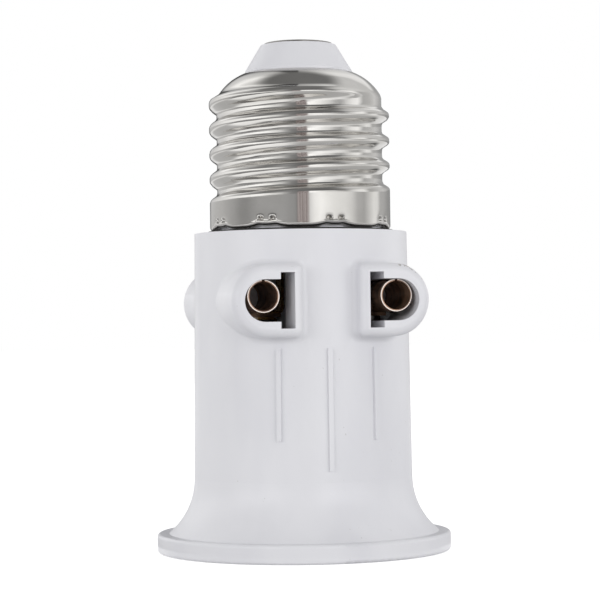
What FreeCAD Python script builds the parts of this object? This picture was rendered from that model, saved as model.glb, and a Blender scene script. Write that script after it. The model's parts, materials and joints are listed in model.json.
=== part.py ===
import FreeCAD, Part
import math
import os

os.makedirs("parts", exist_ok=True)

# Lamp socket adapter: a screw cap on top, two mains outlets on the sides and a
# lamp socket that opens downwards. Millimetres, +Z up. The origin is the centre
# of the flange's lower face. The outlets face -Y and +Y, their pins lie along X.

V = FreeCAD.Vector
UP = V(0, 0, 1)

# Edison screw: the rolled knuckle thread of the cap and of the lamp socket. Its
# turns are modelled as rings, level with the real helix on the front outlet's side
pitch = 3.629
thread_depth = 1.1
sheet_t = 0.3
cap_big_r = 13.1
socket_t = 0.35
socket_big_r = 13.3

# Body moulding: flange, flared skirt and tapered wall, wide enough for the socket
# and for the contacts
bore_gap = 0.45
skirt_wall = 1.7
body_taper = 0.4
flange_ledge = 1.7
flange_t = 2.7
flange_edge_r = 0.45
flare_r = 10.3
flare_top_z = 10.65
mouth_flare = 3.5
body_top_z = 45.9
seat_z = 30.0
seat_ledge = 0.9
contact_room = 1.7
deck_t = 1.5

# Neck and nose, which carry the cap
stake_gap = 0.75
neck_low_h = 4.4
neck_gap = 0.25
neck_wall = 1.4
nose_h = 3.8
nose_foot_r = 7.8
nose_slope = 0.605
nose_wall = 1.6
nose_top_t = 1.8
neck_inside_drop = 1.5
nose_step = 0.5
nose_root_drop = 1.5

# Cap shell, each height above the one before
cap_rim_gap = 0.25
cap_rim_roll = 0.7
cap_skirt_h = 5.0
cap_turns = 4
cap_neck_h = 1.9
cap_dome_h = 3.9
cap_dome_bulge = 0.42
cap_opening_gap = 0.12

# Lamp socket
socket_lip_z = 3.2
socket_lip_h = 3.0
socket_turns = 4
socket_ring_w = 3.0
shell_rivet_gap = 0.05
base_t = 2.4
base_gap = 0.2

# Outlets: two D-shaped bosses on each side
outlet_z = 35.95
outlet_proud = 1.9
pin_u = 9.5
boss_inner_u = 4.0
boss_outer_u = 14.1
boss_half_h = 5.1
boss_corner_r = 1.0
boss_front_r = 1.2
boss_root_r = 0.9
hole_r = 2.92
slot_u = 6.35
slot_w = 2.0
slot_h = 7.75
channel_gap = 0.15

# Raised ribs under each outlet
rib_angles = (-26.2, 0.0, 26.2)
rib_w = 0.65
rib_proud = 0.35
rib_drop = 6.65
side_rib_h = 12.8
middle_rib_h = 17.0

# Outlet contacts
sleeve_lift = 0.6
sleeve_out_r = 2.25
sleeve_in_r = 2.0
sleeve_recess = 1.4
sleeve_end_gap = 0.3
sleeve_slit = 0.4
tail_w = 3.0
tail_end_y = 0.9
tail_lap = 1.5
bus_t = 0.5
bus_w = 4.0
bus_end_h = 0.2
bus_tab_end_u = 3.6
contact_screw_y = 2.4

# Pads, posts and the wall between the outlets, inside the body
pad_half_w = 2.0
pad_half_len = 4.2
pad_above_deck = 1.6
pad_in_wall = 0.3
barrier_y = 2.5
barrier_t = 1.2
barrier_gap = 0.2
pad_bite = 0.1
post_r = 2.2
post_rib_t = 1.5

# Straps between the contacts
strap_w = 3.0
strap_t = 0.4
strap_bend_r = 0.6
live_strap_u = 3.2
neutral_strap_u = 4.6
strap_foot_gap = 1.0
neutral_strap_h = 4.3
neutral_prong_len = 2.6
strap_slot_gap = 0.25
prong_gap = 0.15
tail_foot_len = 2.7
tail_bend_gap = 0.55

# Lamp contact leaf and its button
leaf_t = 0.3
leaf_w = 4.0
leaf_ring_gap = 1.2
leaf_rivet_in = 1.8
leaf_bend_gap = 0.15
leaf_drop = 2.15
leaf_pad_u = 1.8
button_r = 1.9
button_h = 0.9
button_shank_r = 0.8
button_head_r = 1.2
button_head_t = 0.3

# Cap contact
contact_disc_r = 5.0
contact_disc_t = 0.3
contact_shank_r = 1.3
contact_head_r = 1.9
contact_head_t = 0.5

# Fasteners
shank_gap = 0.06
rivet_r = 0.9
rivet_head_r = 1.45
rivet_head_t = 0.6
contact_screw_r = 0.9
contact_screw_head_r = 1.6
contact_screw_head_t = 1.1
contact_screw_len = 6.0
base_screw_gap = 0.7
base_screw_r = 1.1
base_screw_head_r = 1.9
base_screw_head_t = 1.3
base_screw_len = 10.5
drive_w = 0.35
drive_depth = 0.6
screw_room = 0.5

# How far a cut runs past the face it opens, and a joined piece into its carrier
over = 1.0
sink = 0.5
lean = math.sqrt(0.5)

# Sizes that follow from the ones above
cap_small_r = cap_big_r - thread_depth
socket_small_r = socket_big_r - thread_depth
bore_r = socket_big_r + socket_t + bore_gap
chamber_r = max(bore_r - seat_ledge, pin_u + bus_w / 2 + contact_room)
body_low_r = chamber_r + seat_ledge + skirt_wall
body_top_r = body_low_r - body_taper
outlet_face_y = body_low_r + outlet_proud
deck_low_z = body_top_z - deck_t
neck_low_r = cap_big_r - sheet_t - stake_gap
neck_low_top_z = body_top_z + neck_low_h
neck_r = cap_small_r - sheet_t - neck_gap
neck_bore_r = neck_r - neck_wall
cap_first_crest_z = body_top_z + cap_skirt_h
cap_thread_end_z = cap_first_crest_z + (cap_turns - 0.5) * pitch
cap_dome_z = cap_thread_end_z + cap_neck_h
nose_foot_z = cap_dome_z + cap_dome_h
nose_top_z = nose_foot_z + nose_h
nose_top_r = nose_foot_r - nose_h * nose_slope
nose_inside_z = nose_top_z - nose_top_t
cap_rim_z = body_top_z + cap_rim_gap
cap_opening_r = nose_foot_r + cap_opening_gap
base_low_z = seat_z - base_t
socket_thread_low_z = socket_lip_z + socket_lip_h
socket_opening_r = socket_small_r - socket_ring_w
shell_rivet_u = socket_small_r - rivet_head_r - shell_rivet_gap
base_screw_y = socket_opening_r - base_screw_gap - base_screw_head_r
leaf_root_end_u = socket_opening_r - leaf_ring_gap
leaf_rivet_u = leaf_root_end_u - leaf_rivet_in
leaf_hinge_u = leaf_rivet_u - rivet_head_r - leaf_bend_gap
strap_foot_end_u = pin_u - contact_screw_head_r - strap_foot_gap
tail_strap_u = min(strap_foot_end_u - tail_foot_len, leaf_rivet_u - rivet_head_r - tail_bend_gap)
sleeve_z = outlet_z + sleeve_lift
sleeve_mouth_y = -outlet_face_y + sleeve_recess
sleeve_end_y = -pad_half_len - sleeve_end_gap
sleeve_len = sleeve_end_y - sleeve_mouth_y
tail_low_z = sleeve_z - sleeve_out_r
tail_top_z = sleeve_z - sleeve_in_r
bus_low_z = tail_low_z - bus_t
bus_half_len = pad_half_len + bus_end_h
neutral_strap_z = body_top_z + neutral_strap_h
foot_z = tail_low_z + strap_t / 2
under_bus_z = bus_low_z - strap_t / 2
on_base_z = seat_z + strap_t / 2
leaf_z = base_low_z - leaf_t / 2
pad_z = leaf_z - leaf_drop


def at(r, z):
    return V(r, 0, z)


def path(*points):
    """Edges through the points. A pair (via, end) is an arc."""
    edges = []
    here = points[0]
    for point in points[1:]:
        if isinstance(point, tuple):
            edges.append(Part.Arc(here, point[0], point[1]).toShape())
            here = point[1]
        else:
            edges.append(Part.LineSegment(here, point).toShape())
            here = point
    return edges


def turned(*points):
    """A solid of revolution about Z from a closed outline in the XZ plane."""
    wire = Part.Wire(path(*points, points[0]))
    return Part.Face(wire).revolve(V(0, 0, 0), UP, 360)


def cylinder(r, h, x, y, z, axis=UP):
    return Part.makeCylinder(r, h, V(x, y, z), axis)


def block(x0, x1, y0, y1, z0, z1):
    return Part.makeBox(x1 - x0, y1 - y0, z1 - z0, V(x0, y0, z0))


def body_r(z):
    """Radius of the tapered wall."""
    share = (z - flare_top_z) / (body_top_z - flare_top_z)
    return body_low_r + (body_top_r - body_low_r) * share


def on_arc(centre, r, z, side=-1):
    """The point at height z on an arc of radius r about a centre (r, z)."""
    return at(centre.x + side * math.sqrt(r ** 2 - (z - centre.z) ** 2), z)


def flare(offset, foot_z):
    """The concave flare from its foot up to the wall, as start, via and end."""
    centre = at(body_low_r + flare_r, flare_top_z)
    r = flare_r + offset
    foot = on_arc(centre, r, foot_z)
    via = on_arc(centre, r, (foot_z + flare_top_z) / 2)
    return foot, via, at(body_low_r - offset, flare_top_z)


def bulged(start, end, bulge):
    """The middle of an arc that bulges outwards between two points."""
    middle = (start + end) * 0.5
    chord = end - start
    return middle + V(chord.z, 0, -chord.x).normalize() * bulge


def mirrored(shape):
    """The same shape, turned half round for the other outlet or the other side."""
    other = shape.copy()
    other.rotate(V(0, 0, 0), UP, 180)
    return other


def across(shape):
    """The shape and its mirror image across the YZ plane."""
    return [shape, shape.mirror(V(0, 0, 0), V(1, 0, 0))]


def body_outside():
    foot, via, top = flare(0, flange_t)
    flange_r = foot.x + flange_ledge
    turn = flange_edge_r * (1 - lean)
    shoulder = at(neck_r, cap_dome_z - sheet_t)
    nose_root = at(nose_foot_r, nose_foot_z - nose_step)
    return turned(
        at(0, 0),
        at(flange_r - flange_edge_r, 0),
        (at(flange_r - turn, turn), at(flange_r, flange_edge_r)),
        at(flange_r, flange_t - flange_edge_r),
        (at(flange_r - turn, flange_t - turn), at(flange_r - flange_edge_r, flange_t)),
        foot,
        (via, top),
        at(body_top_r, body_top_z),
        at(neck_low_r, body_top_z),
        at(neck_low_r, neck_low_top_z),
        at(neck_r, neck_low_top_z + neck_low_r - neck_r),
        shoulder,
        (bulged(shoulder, nose_root, cap_dome_bulge), nose_root),
        at(nose_foot_r, nose_foot_z),
        at(nose_top_r, nose_top_z),
        at(0, nose_top_z),
    )


def cavity():
    """Everything hollow inside the body, from the mouth up to the nose."""
    centre = at(body_low_r + flare_r, flare_top_z)
    mouth_r = body_low_r - skirt_wall + mouth_flare
    arc_r = flare_r + skirt_wall
    foot_z = flare_top_z - math.sqrt(arc_r ** 2 - (centre.x - mouth_r) ** 2)
    foot, via, top = flare(skirt_wall, foot_z)
    return turned(
        at(0, -over),
        at(mouth_r, -over),
        foot,
        (via, top),
        at(bore_r, seat_z),
        at(chamber_r, seat_z),
        at(chamber_r, deck_low_z),
        at(neck_bore_r, deck_low_z),
        at(neck_bore_r, cap_dome_z - neck_inside_drop),
        at(nose_foot_r - nose_wall, nose_foot_z - nose_root_drop),
        at(nose_foot_r - nose_wall, nose_foot_z),
        at(nose_top_r + nose_slope * nose_top_t - nose_wall, nose_inside_z),
        at(0, nose_inside_z),
    )


def boss():
    """One D-shaped boss, round side outwards, on the front at +X."""
    low = outlet_z - boss_half_h
    high = outlet_z + boss_half_h
    arc_u = boss_outer_u - boss_half_h
    turn = boss_corner_r * (1 - lean)
    outline = path(
        at(boss_inner_u, low + boss_corner_r),
        at(boss_inner_u, high - boss_corner_r),
        (at(boss_inner_u + turn, high - turn), at(boss_inner_u + boss_corner_r, high)),
        at(arc_u, high),
        (at(boss_outer_u, outlet_z), at(arc_u, low)),
        at(boss_inner_u + boss_corner_r, low),
        (at(boss_inner_u + turn, low + turn), at(boss_inner_u, low + boss_corner_r)),
    )
    face = Part.Face(Part.Wire(outline))
    face.translate(V(0, -outlet_face_y, 0))
    solid = face.extrude(V(0, outlet_face_y, 0))
    front = [e for e in solid.Edges if abs(e.BoundBox.YMin + outlet_face_y) < 1e-3
             and e.BoundBox.YLength < 1e-3]
    return solid.makeFillet(boss_front_r, front)


def channel():
    """The keyhole through one boss: a round hole run into a blade slot."""
    end_y = pad_half_len + channel_gap
    depth = outlet_face_y + over - end_y
    start_y = -outlet_face_y - over
    hole = cylinder(hole_r, depth, pin_u, start_y, outlet_z, V(0, 1, 0))
    flats = block(slot_u, pin_u, start_y, -end_y, outlet_z - hole_r, outlet_z + hole_r)
    slot = block(slot_u - slot_w / 2, slot_u + slot_w / 2, start_y, -end_y,
                 outlet_z - slot_h / 2, outlet_z + slot_h / 2)
    return hole.fuse([flats, slot])


def rib_envelope():
    """The wall made thicker by the ribs' height, which trims them to its taper."""
    return turned(
        at(0, flare_top_z),
        at(body_low_r + rib_proud, flare_top_z),
        at(body_top_r + rib_proud, body_top_z),
        at(0, body_top_z),
    )


def rib(angle):
    high = outlet_z - rib_drop
    low = high - (middle_rib_h if angle == 0 else side_rib_h)
    bar = block(-rib_w / 2, rib_w / 2, -body_low_r - over, -body_low_r + skirt_wall / 2, low, high)
    bar.rotate(V(0, 0, 0), UP, angle)
    return bar.common(rib_envelope())


def contact_pad():
    """The pad that a bus and two sleeve tails are screwed up against."""
    pad = block(pin_u - pad_half_w, chamber_r + pad_in_wall, -pad_half_len, pad_half_len,
                tail_top_z, deck_low_z + sink)
    stem = block(pin_u - pad_half_w, neck_bore_r + pad_in_wall, -pad_half_len, pad_half_len,
                 deck_low_z, body_top_z + pad_above_deck)
    pad = pad.fuse(stem).removeSplitter()
    depth = contact_screw_len - bus_t + screw_room
    for y in (-contact_screw_y, contact_screw_y):
        pad = pad.cut(cylinder(contact_screw_r + shank_gap, depth, pin_u, y, tail_top_z))
    return pad


def barrier():
    """The wall between the two outlets, hung from the pads beside the straps."""
    low = block(-pin_u + pad_half_w + barrier_gap, pin_u - pad_half_w - barrier_gap,
                barrier_y, barrier_y + barrier_t, seat_z + barrier_gap, deck_low_z)
    high = block(-pin_u + pad_half_w - pad_bite, pin_u - pad_half_w + pad_bite,
                 barrier_y, barrier_y + barrier_t, tail_top_z, deck_low_z)
    return low.fuse(high)


def post():
    """A post with its rib to the wall, which a screw of the socket base goes into."""
    shaft = cylinder(post_r, deck_low_z - seat_z, 0, -base_screw_y, seat_z)
    web = block(-post_rib_t / 2, post_rib_t / 2, -chamber_r - sink, -base_screw_y,
                seat_z, deck_low_z + sink)
    return shaft.fuse(web)


def strap_slot():
    """The window in the neck through which the neutral strap reaches the shell."""
    half_w = strap_w / 2 + strap_slot_gap
    half_h = strap_t / 2 + strap_slot_gap
    return block(neck_bore_r - over, neck_low_r + over, -half_w, half_w,
                 neutral_strap_z - half_h, neutral_strap_z + half_h)


def root_edges(solid):
    """The edges where the bosses meet the tapered wall."""
    found = []
    for edge in solid.Edges:
        box = edge.BoundBox
        middle = edge.valueAt((edge.FirstParameter + edge.LastParameter) / 2)
        on_wall = abs(math.hypot(middle.x, middle.y) - body_r(middle.z)) < 0.01
        beside = box.ZMin > outlet_z - boss_half_h - 0.1 and box.ZMax < outlet_z + boss_half_h + 0.1
        if on_wall and beside:
            found.append(edge)
    return found


def housing():
    bosses = []
    for one in across(boss()):
        bosses += [one, mirrored(one)]
    solid = body_outside().fuse(bosses)
    solid = solid.makeFillet(boss_root_r, root_edges(solid))
    solid = solid.cut(cavity())
    inner = across(contact_pad()) + [barrier()]
    inner += [post(), mirrored(post())]
    ribs = [rib(angle) for angle in rib_angles]
    ribs += [mirrored(one) for one in ribs]
    solid = solid.fuse(inner + ribs)
    channels = []
    for one in across(channel()):
        channels += [one, mirrored(one)]
    nose_hole = cylinder(contact_shank_r + shank_gap, nose_top_t + 2 * over, 0, 0, nose_inside_z - over)
    depth = base_screw_len - base_t + screw_room
    post_holes = rivet_holes(base_screw_places, base_screw_r, seat_z, depth)
    return solid.cut(channels + post_holes + [strap_slot(), nose_hole]).removeSplitter()


def knuckle(big, small, skin, crest_z, turns):
    """Rolled thread outline going up from a crest into the last groove.

    Crests and grooves are arcs of one radius. Skin moves the outline inwards by a
    sheet's thickness.
    """
    half = (big - small) / 2
    arc = ((pitch / 4) ** 2 + half ** 2) / (2 * half)
    slope = pitch / 4 / arc
    flank = (arc - skin) * slope
    flank_r = big - arc + (arc - skin) * math.sqrt(1 - slope ** 2)
    points = [at(big - skin, crest_z)]
    for turn in range(turns):
        crest = crest_z + turn * pitch
        groove = crest + pitch / 2
        over_crest = at(big - skin, crest)
        if turn == 0:
            over_crest = on_arc(at(big - arc, crest), arc - skin, crest + flank / 2, 1)
        points.append((over_crest, at(flank_r, crest + flank)))
        if turn < turns - 1:
            points.append((at(small - skin, groove), at(flank_r, crest + pitch - flank)))
        else:
            rise = on_arc(at(small + arc, groove), arc + skin, (crest + flank + groove) / 2)
            points.append((rise, at(small - skin, groove)))
    return points


def backwards(points):
    """The same path walked the other way."""
    ends = [p[1] if isinstance(p, tuple) else p for p in points]
    back = [ends[-1]]
    for i in range(len(points) - 1, 0, -1):
        back.append((points[i][0], ends[i - 1]) if isinstance(points[i], tuple) else ends[i - 1])
    return back


def cap_side(skin):
    """One face of the cap's sheet, from the top of the skirt to the opening."""
    thread = knuckle(cap_big_r, cap_small_r, skin, cap_first_crest_z, cap_turns)
    foot = at(cap_small_r - skin, cap_dome_z)
    opening = at(cap_opening_r, nose_foot_z - skin)
    return thread + [
        foot,
        (bulged(foot, opening, cap_dome_bulge), opening),
    ]


def cap_shell():
    """The screw shell: one rolled sheet with its lower rim turned in."""
    centre = at(cap_big_r - cap_rim_roll, cap_rim_z + cap_rim_roll)
    inner_roll = cap_rim_roll - sheet_t
    inner = backwards(cap_side(sheet_t))
    return turned(
        *cap_side(0),
        *inner,
        at(centre.x + inner_roll, centre.z),
        (at(centre.x + inner_roll * lean, centre.z - inner_roll * lean), at(centre.x, cap_rim_z + sheet_t)),
        at(centre.x, cap_rim_z),
        (at(centre.x + cap_rim_roll * lean, centre.z - cap_rim_roll * lean), at(cap_big_r, centre.z)),
    )


def cap_contact():
    """The contact on the nose: a disc with a rivet shank, headed over inside."""
    shank_low_z = nose_inside_z - strap_t
    disc = cylinder(contact_disc_r, contact_disc_t, 0, 0, nose_top_z)
    rim = [e for e in disc.Edges if e.BoundBox.ZMin > nose_top_z + contact_disc_t / 2]
    disc = disc.makeFillet(contact_disc_t / 2, rim)
    shank = cylinder(contact_shank_r, nose_top_z - shank_low_z, 0, 0, shank_low_z)
    head = cylinder(contact_head_r, contact_head_t, 0, 0, shank_low_z - contact_head_t)
    rim = [e for e in head.Edges if e.BoundBox.ZMax < shank_low_z - contact_head_t / 2]
    head = head.makeFillet(contact_head_t * 0.6, rim)
    return disc.fuse([shank, head]).removeSplitter()


def socket_shell():
    """The lamp socket's shell: a plain lip, the rolled thread and an end ring."""
    def side(skin):
        return knuckle(socket_big_r, socket_small_r, skin, socket_thread_low_z, socket_turns)
    return turned(
        at(socket_big_r, socket_lip_z),
        *side(0),
        at(socket_small_r, base_low_z - socket_t),
        at(socket_opening_r, base_low_z - socket_t),
        at(socket_opening_r, base_low_z),
        at(socket_small_r + socket_t, base_low_z),
        *backwards(side(-socket_t)),
        at(socket_big_r + socket_t, socket_lip_z),
    ).cut(rivet_holes(shell_rivet_places, rivet_r, base_low_z - over, 2 * over))


def rivet_holes(places, r, low_z, h):
    return [cylinder(r + shank_gap, h, x, y, low_z) for x, y in places]


shell_rivet_places = ((-shell_rivet_u, 0), (shell_rivet_u, 0))
base_screw_places = ((0, -base_screw_y), (0, base_screw_y))


def socket_base():
    """The insulating base that holds the shell and the leaf up against the body."""
    disc = cylinder(bore_r - base_gap, base_t, 0, 0, base_low_z)
    low_z = base_low_z - over
    depth = base_t + 2 * over
    holes = rivet_holes(shell_rivet_places, rivet_r, low_z, depth)
    holes += rivet_holes(((-leaf_rivet_u, 0),), rivet_r, low_z, depth)
    holes += rivet_holes(base_screw_places, base_screw_r, low_z, depth)
    return disc.cut(holes)


def shift(points, d):
    """The points of a bent strip's line moved sideways by d, mitred at its bends."""
    moved = []
    for i, here in enumerate(points):
        before = points[i] - points[i - 1] if i else points[1] - points[0]
        after = points[i + 1] - here if i < len(points) - 1 else before
        before.normalize()
        after.normalize()
        n1 = V(-before.z, 0, before.x)
        n2 = V(-after.z, 0, after.x)
        moved.append(here + (n1 + n2) * (d / (1 + n1.dot(n2))))
    return moved


def eased(points, radii):
    """The points as a path whose corners are arcs of these radii."""
    steps = [points[0]]
    for i in range(1, len(points) - 1):
        here = points[i]
        back = (points[i - 1] - here).normalize()
        on = (points[i + 1] - here).normalize()
        half = math.acos(max(-1.0, min(1.0, back.dot(on)))) / 2
        reach = radii[i - 1] / math.tan(half)
        inward = (back + on).normalize()
        via = here + inward * (radii[i - 1] / math.sin(half) - radii[i - 1])
        steps += [here + back * reach, (via, here + on * reach)]
    return steps + [points[-1]]


def strip(points, w, t, bend=strap_bend_r):
    """A flat strip of width w and thickness t along Y, bent along points in XZ."""
    left_r, right_r = [], []
    for i in range(1, len(points) - 1):
        a = points[i] - points[i - 1]
        b = points[i + 1] - points[i]
        to_left = a.x * b.z - a.z * b.x > 0
        left_r.append(bend - t / 2 if to_left else bend + t / 2)
        right_r.append(bend + t / 2 if to_left else bend - t / 2)
    left = eased(shift(points, t / 2), left_r)
    right = backwards(eased(shift(points, -t / 2), right_r))
    wire = Part.Wire(path(*left, *right, left[0]))
    solid = Part.Face(wire).extrude(V(0, w, 0))
    solid.translate(V(0, -w / 2, 0))
    return solid


def sleeve():
    """A contact sleeve rolled from sheet, with the tail that is screwed to its bus."""
    along = V(0, 1, 0)
    ring = cylinder(sleeve_out_r, sleeve_len, pin_u, sleeve_mouth_y, sleeve_z, along)
    ring = ring.cut(cylinder(sleeve_in_r, sleeve_len, pin_u, sleeve_mouth_y, sleeve_z, along))
    slit = block(pin_u - sleeve_slit / 2, pin_u + sleeve_slit / 2, sleeve_mouth_y, sleeve_end_y,
                 sleeve_z, sleeve_z + sleeve_out_r + over)
    tail = block(pin_u - tail_w / 2, pin_u + tail_w / 2, sleeve_end_y - tail_lap, -tail_end_y,
                 tail_low_z, tail_top_z)
    hole = cylinder(contact_screw_r + shank_gap, 2 * over, pin_u, -contact_screw_y, tail_low_z - over)
    return ring.cut(slit).fuse(tail).cut(hole).removeSplitter()


def bus(side):
    """A brass bus under two sleeve tails, with a tab towards the middle."""
    bar = block(pin_u - bus_w / 2, pin_u + bus_w / 2, -bus_half_len, bus_half_len, bus_low_z, tail_low_z)
    tab = block(bus_tab_end_u, pin_u, -bus_w / 2, bus_w / 2, bus_low_z, tail_low_z)
    solid = bar.fuse(tab).removeSplitter()
    for y in (-contact_screw_y, contact_screw_y):
        solid = solid.cut(cylinder(contact_screw_r + shank_gap, 2 * over, pin_u, y, bus_low_z - over))
    return solid if side > 0 else solid.mirror(V(0, 0, 0), V(1, 0, 0))


def screw(x, y, under_z, r, head_r, head_t, length):
    """A pan-head screw driven upwards, its head under under_z, with a cross drive."""
    low_z = under_z - head_t
    head = cylinder(head_r, head_t, x, y, low_z)
    rim = [e for e in head.Edges if e.BoundBox.ZMax < low_z + head_t / 2]
    head = head.makeFillet(head_t * 0.5, rim)
    tip_r = r * 0.5
    shank = cylinder(r, length - r, x, y, under_z)
    tip = Part.makeCone(r, tip_r, r, V(x, y, under_z + length - r), UP)
    arm = head_r * 0.6
    deep_z = low_z + drive_depth
    cross = [block(x - arm, x + arm, y - drive_w / 2, y + drive_w / 2, low_z - over, deep_z),
             block(x - drive_w / 2, x + drive_w / 2, y - arm, y + arm, low_z - over, deep_z)]
    return head.fuse([shank, tip]).removeSplitter().cut(cross)


def rivet(x, y, under_z, over_z):
    """A rivet with a domed head below under_z and a closed head above over_z."""
    shank = cylinder(rivet_r, over_z - under_z, x, y, under_z)
    low = cylinder(rivet_head_r, rivet_head_t, x, y, under_z - rivet_head_t)
    rim = [e for e in low.Edges if e.BoundBox.ZMax < under_z - rivet_head_t / 2]
    low = low.makeFillet(rivet_head_t * 0.7, rim)
    high = cylinder(rivet_head_r, rivet_head_t, x, y, over_z)
    rim = [e for e in high.Edges if e.BoundBox.ZMin > over_z + rivet_head_t / 2]
    high = high.makeFillet(rivet_head_t * 0.5, rim)
    return shank.fuse([low, high]).removeSplitter()


def live_strap():
    """From under the nose contact down to the live bus."""
    top_z = nose_inside_z - strap_t / 2
    solid = strip([at(contact_head_r, top_z), at(-live_strap_u, top_z),
                   at(-live_strap_u, foot_z), at(-strap_foot_end_u, foot_z)], strap_w, strap_t)
    return solid.cut(cylinder(contact_shank_r + shank_gap, 2 * over, 0, 0, top_z - over))


def neutral_strap():
    """From a spring prong against the screw shell down to the neutral bus."""
    prong_u = cap_big_r - sheet_t - prong_gap - strap_t / 2
    return strip([at(prong_u, neutral_strap_z - neutral_prong_len), at(prong_u, neutral_strap_z),
                  at(neutral_strap_u, neutral_strap_z), at(neutral_strap_u, foot_z),
                  at(strap_foot_end_u, foot_z)], strap_w, strap_t)


def live_tail():
    """From under the live bus down to the leaf's rivet."""
    solid = strip([at(-strap_foot_end_u, under_bus_z), at(-tail_strap_u, under_bus_z),
                   at(-tail_strap_u, on_base_z), at(-leaf_rivet_u - rivet_head_r, on_base_z)],
                  strap_w, strap_t)
    return solid.cut(cylinder(rivet_r + shank_gap, 2 * over, -leaf_rivet_u, 0, seat_z - over))


def neutral_tail():
    """From under the neutral bus down to a rivet of the socket shell."""
    solid = strip([at(strap_foot_end_u, under_bus_z), at(tail_strap_u, under_bus_z),
                   at(tail_strap_u, on_base_z), at(shell_rivet_u + rivet_head_r, on_base_z)],
                  strap_w, strap_t)
    return solid.cut(cylinder(rivet_r + shank_gap, 2 * over, shell_rivet_u, 0, seat_z - over))


def contact_leaf():
    """The lamp contact leaf: riveted at its root, bent down to a level pad."""
    solid = strip([at(-leaf_root_end_u, leaf_z), at(-leaf_hinge_u, leaf_z),
                   at(-leaf_pad_u, pad_z), at(leaf_pad_u, pad_z)], leaf_w, leaf_t)
    solid = solid.cut(cylinder(rivet_r + shank_gap, 2 * over, -leaf_rivet_u, 0, leaf_z - over))
    return solid.cut(cylinder(button_shank_r + shank_gap, 2 * over, 0, 0, pad_z - over))


def contact_button():
    """The button riveted in the leaf's pad, which the lamp's own contact presses."""
    low_z = pad_z - leaf_t / 2
    high_z = pad_z + leaf_t / 2
    dome = cylinder(button_r, button_h, 0, 0, low_z - button_h)
    rim = [e for e in dome.Edges if e.BoundBox.ZMax < low_z - button_h / 2]
    dome = dome.makeFillet(button_h * 0.8, rim)
    shank = cylinder(button_shank_r, leaf_t, 0, 0, low_z)
    head = cylinder(button_head_r, button_head_t, 0, 0, high_z)
    return dome.fuse([shank, head]).removeSplitter()


def contact_screws():
    screws = []
    for x in (-pin_u, pin_u):
        for y in (-contact_screw_y, contact_screw_y):
            screws.append(screw(x, y, bus_low_z, contact_screw_r, contact_screw_head_r,
                                contact_screw_head_t, contact_screw_len))
    return Part.makeCompound(screws)


def base_screws():
    return Part.makeCompound([screw(x, y, base_low_z, base_screw_r, base_screw_head_r,
                                    base_screw_head_t, base_screw_len) for x, y in base_screw_places])


def shell_rivets():
    under_z = base_low_z - socket_t
    return Part.makeCompound([rivet(-shell_rivet_u, 0, under_z, seat_z),
                              rivet(shell_rivet_u, 0, under_z, seat_z + strap_t)])


def leaf_rivet():
    return rivet(-leaf_rivet_u, 0, base_low_z - leaf_t, seat_z + strap_t)


def build():
    front_right, front_left = across(sleeve())
    return {
        "housing": housing(),
        "cap_shell": cap_shell(),
        "cap_contact": cap_contact(),
        "front_left_sleeve": front_left,
        "front_right_sleeve": front_right,
        "rear_left_sleeve": mirrored(front_right),
        "rear_right_sleeve": mirrored(front_left),
        "live_bus": bus(-1),
        "neutral_bus": bus(1),
        "live_strap": live_strap(),
        "neutral_strap": neutral_strap(),
        "live_tail": live_tail(),
        "neutral_tail": neutral_tail(),
        "contact_screws": contact_screws(),
        "socket_base": socket_base(),
        "socket_shell": socket_shell(),
        "shell_rivets": shell_rivets(),
        "contact_leaf": contact_leaf(),
        "contact_button": contact_button(),
        "leaf_rivet": leaf_rivet(),
        "base_screws": base_screws(),
    }


for node, shape in build().items():
    print(node, shape.isValid(), len(shape.Solids), round(shape.Volume, 2))
    shape.exportStep("parts/" + node + ".step")
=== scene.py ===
# %% [markdown]
# Dressing a lamp socket adapter.
# The adapter comes in as a finished frame: every piece is at its real size and
# place, in metres, and stays there. What this script adds is the looks: a camera
# where the photographer stood, plain studio light, and a surface for each piece.

# %% Load the frame
import bmesh
import bpy
import json
import math
from mathutils import Matrix, Vector


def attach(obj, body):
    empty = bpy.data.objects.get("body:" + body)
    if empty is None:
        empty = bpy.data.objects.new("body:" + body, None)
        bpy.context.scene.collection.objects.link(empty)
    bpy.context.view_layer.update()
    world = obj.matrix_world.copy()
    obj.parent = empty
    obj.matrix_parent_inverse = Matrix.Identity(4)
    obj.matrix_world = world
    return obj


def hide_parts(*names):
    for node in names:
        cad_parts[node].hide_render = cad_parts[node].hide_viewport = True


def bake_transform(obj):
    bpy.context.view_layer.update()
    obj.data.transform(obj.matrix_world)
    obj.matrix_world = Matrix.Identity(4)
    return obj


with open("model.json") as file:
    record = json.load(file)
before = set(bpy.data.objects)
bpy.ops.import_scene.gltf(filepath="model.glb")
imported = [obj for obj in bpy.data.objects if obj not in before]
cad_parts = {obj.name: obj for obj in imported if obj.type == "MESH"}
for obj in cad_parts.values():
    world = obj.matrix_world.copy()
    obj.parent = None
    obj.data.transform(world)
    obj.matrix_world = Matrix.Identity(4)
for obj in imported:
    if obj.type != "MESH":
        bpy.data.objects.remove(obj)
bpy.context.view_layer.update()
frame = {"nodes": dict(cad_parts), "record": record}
nodes = frame["nodes"]
MM = 0.001
print("pieces in the frame:", len(nodes))

# %% [markdown]
# The camera.
# A long lens from about thirty centimetres flattens the adapter only a little.
# The camera stands left of the front outlet, at half the adapter's height, looks
# up by less than a degree and is tilted a little, so the cap leans to the left.

# %% The photographer's camera
VIEW_AZIMUTH = math.radians(-14.3)
VIEW_DISTANCE = 315 * MM
VIEW_HEIGHT = 32.3 * MM
LOOK_UP = math.radians(0.71)
LOOK_LEFT = math.radians(0.034)
TILT = math.radians(0.73)
LENS = 130.0
NEAREST_SEEN = 10 * MM


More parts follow.
